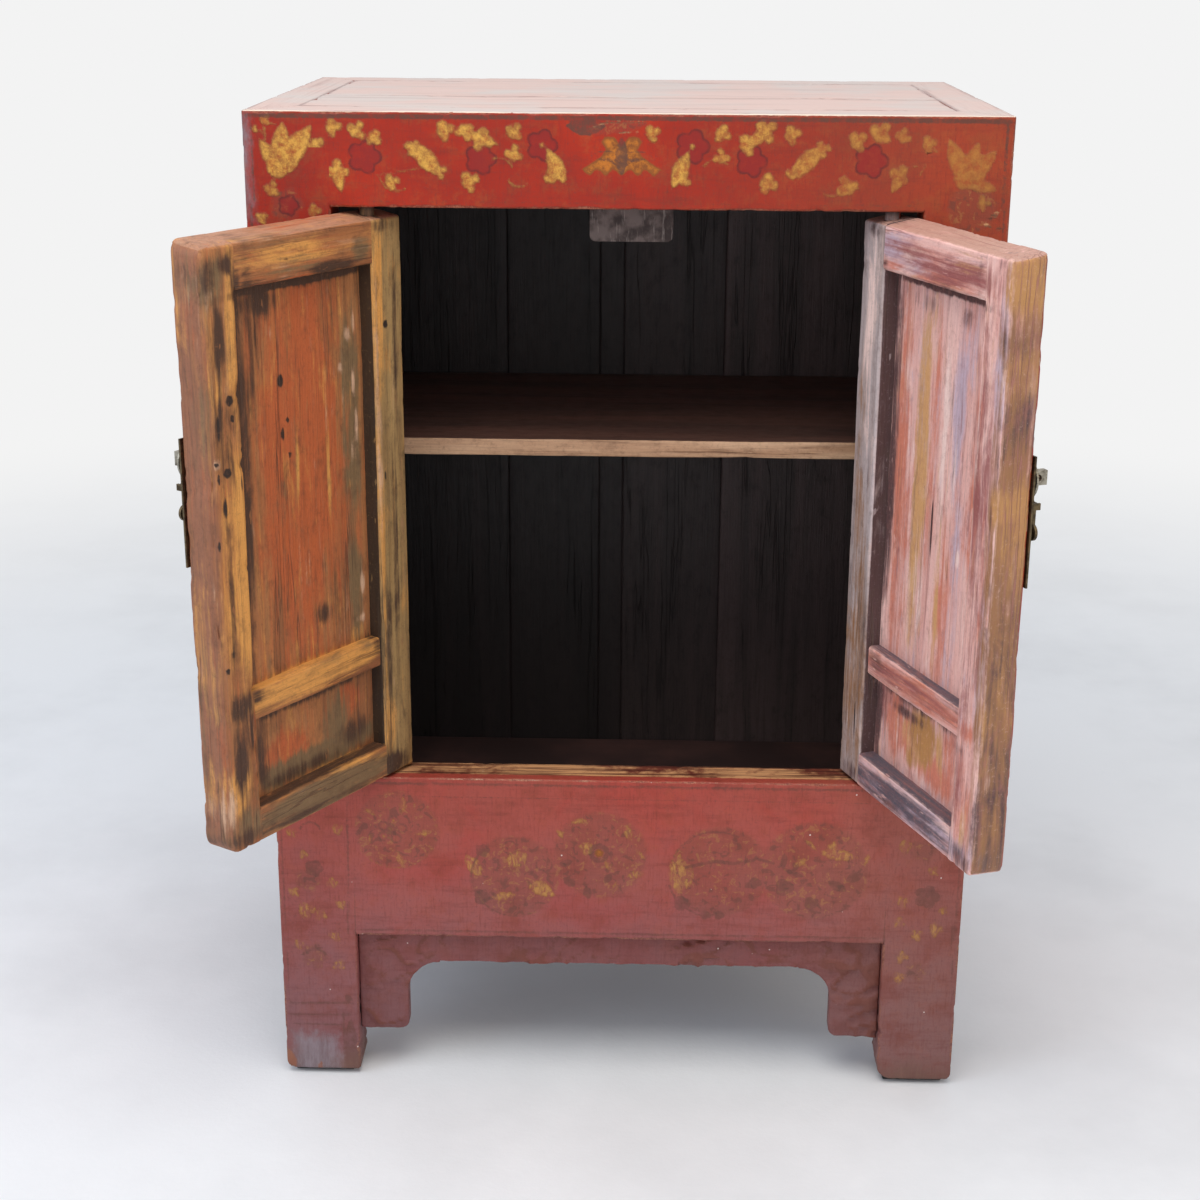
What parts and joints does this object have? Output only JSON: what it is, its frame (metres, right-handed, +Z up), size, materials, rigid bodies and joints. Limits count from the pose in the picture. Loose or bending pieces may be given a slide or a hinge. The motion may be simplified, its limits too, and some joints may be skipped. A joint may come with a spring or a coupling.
{
  "type": "two-door cabinet",
  "caption": "Small upright lacquered cabinet with doors hung on wooden pivots, an inner shelf, a panelled carcass on square legs and a bracketed apron.",
  "frame": {"origin": "middle of the footprint of the cabinet with its doors open as at rest, on the floor", "axes": "+Z up; the front with the doors faces -Y; +X to the right of a person facing the front"},
  "size_m": [0.65, 0.5848, 0.853],
  "materials": {
    "red_lacquer": "worn red lacquer on softwood",
    "worn_top": "worn pinkish lacquer, rubbed to the wood",
    "dark_inside": "dark unfinished softwood",
    "shelf_wood": "brown wood with a bare front edge",
    "ochre_door_wood": "oiled ochre softwood inside",
    "mauve_door_wood": "faded mauve stain on softwood inside",
    "bare_stile_wood": "bare dusty softwood",
    "aged_brass": "dull aged brass",
    "grey_steel": "grey worn sheet and forged steel",
    "black_rubber": "matt black"
  },
  "bodies": {
    "carcass": {"front_left_post": "red_lacquer", "front_right_post": "red_lacquer", "rear_left_post": "red_lacquer", "rear_right_post": "red_lacquer", "left_top_rail": "red_lacquer", "right_top_rail": "red_lacquer", "left_floor_rail": "red_lacquer", "right_floor_rail": "red_lacquer", "left_side_panel": "red_lacquer", "right_side_panel": "red_lacquer", "frieze_rail": "red_lacquer", "sill_rail": "red_lacquer", "lower_front_panel": "red_lacquer", "apron_rail": "red_lacquer", "left_apron_bracket": "red_lacquer", "right_apron_bracket": "red_lacquer", "rear_top_rail": "red_lacquer", "rear_floor_rail": "red_lacquer", "front_floor_rail": "dark_inside", "floor_board": "dark_inside", "back_board_1": "dark_inside", "back_board_2": "dark_inside", "back_board_3": "dark_inside", "back_board_4": "dark_inside", "back_board_5": "dark_inside", "left_shelf_bearer": "dark_inside", "right_shelf_bearer": "dark_inside", "shelf_board": "shelf_wood", "top_frame_front": "worn_top", "top_frame_rear": "worn_top", "top_frame_left": "worn_top", "top_frame_right": "worn_top", "top_board_front": "worn_top", "top_board_rear": "worn_top", "top_batten": "dark_inside", "door_stop_plate": "grey_steel", "front_left_foot_pad": "black_rubber", "front_right_foot_pad": "black_rubber", "rear_left_foot_pad": "black_rubber", "rear_right_foot_pad": "black_rubber"},
    "left_door": {"left_door_hinge_stile": "bare_stile_wood", "left_door_free_stile": "ochre_door_wood", "left_door_top_rail": "ochre_door_wood", "left_door_middle_rail": "ochre_door_wood", "left_door_bottom_rail": "ochre_door_wood", "left_door_upper_panel": "ochre_door_wood", "left_door_lower_panel": "ochre_door_wood", "left_door_lock_plate": "aged_brass", "left_door_lock_lug": "grey_steel"},
    "right_door": {"right_door_hinge_stile": "bare_stile_wood", "right_door_free_stile": "mauve_door_wood", "right_door_top_rail": "mauve_door_wood", "right_door_middle_rail": "mauve_door_wood", "right_door_bottom_rail": "mauve_door_wood", "right_door_upper_panel": "mauve_door_wood", "right_door_lower_panel": "mauve_door_wood", "right_door_lock_plate": "aged_brass", "right_door_lock_lug": "grey_steel"},
    "left_pull": {"left_door_pull": "aged_brass"},
    "right_pull": {"right_door_pull": "aged_brass"}
  },
  "joints": [
    {"name": "left_door_hinge", "type": "hinge", "parent": "carcass", "child": "left_door", "pos_m": [-0.19452, -0.09311, 0.53], "axis": [0, 0, 1], "range_deg": [-0.5, 122]},
    {"name": "right_door_hinge", "type": "hinge", "parent": "carcass", "child": "right_door", "pos_m": [0.22248, -0.09311, 0.53], "axis": [0, 0, -1], "range_deg": [-3.1, 111.2]},
    {"name": "left_pull_swing", "type": "hinge", "parent": "left_door", "child": "left_pull", "pos_m": [-0.3167, -0.24759, 0.588], "axis": [0.5299, 0.848, 0], "range_deg": [-4, 95]},
    {"name": "right_pull_swing", "type": "hinge", "parent": "right_door", "child": "right_pull", "pos_m": [0.31499, -0.27148, 0.588], "axis": [0.3616, -0.9323, 0], "range_deg": [-4, 95]}
  ]
}
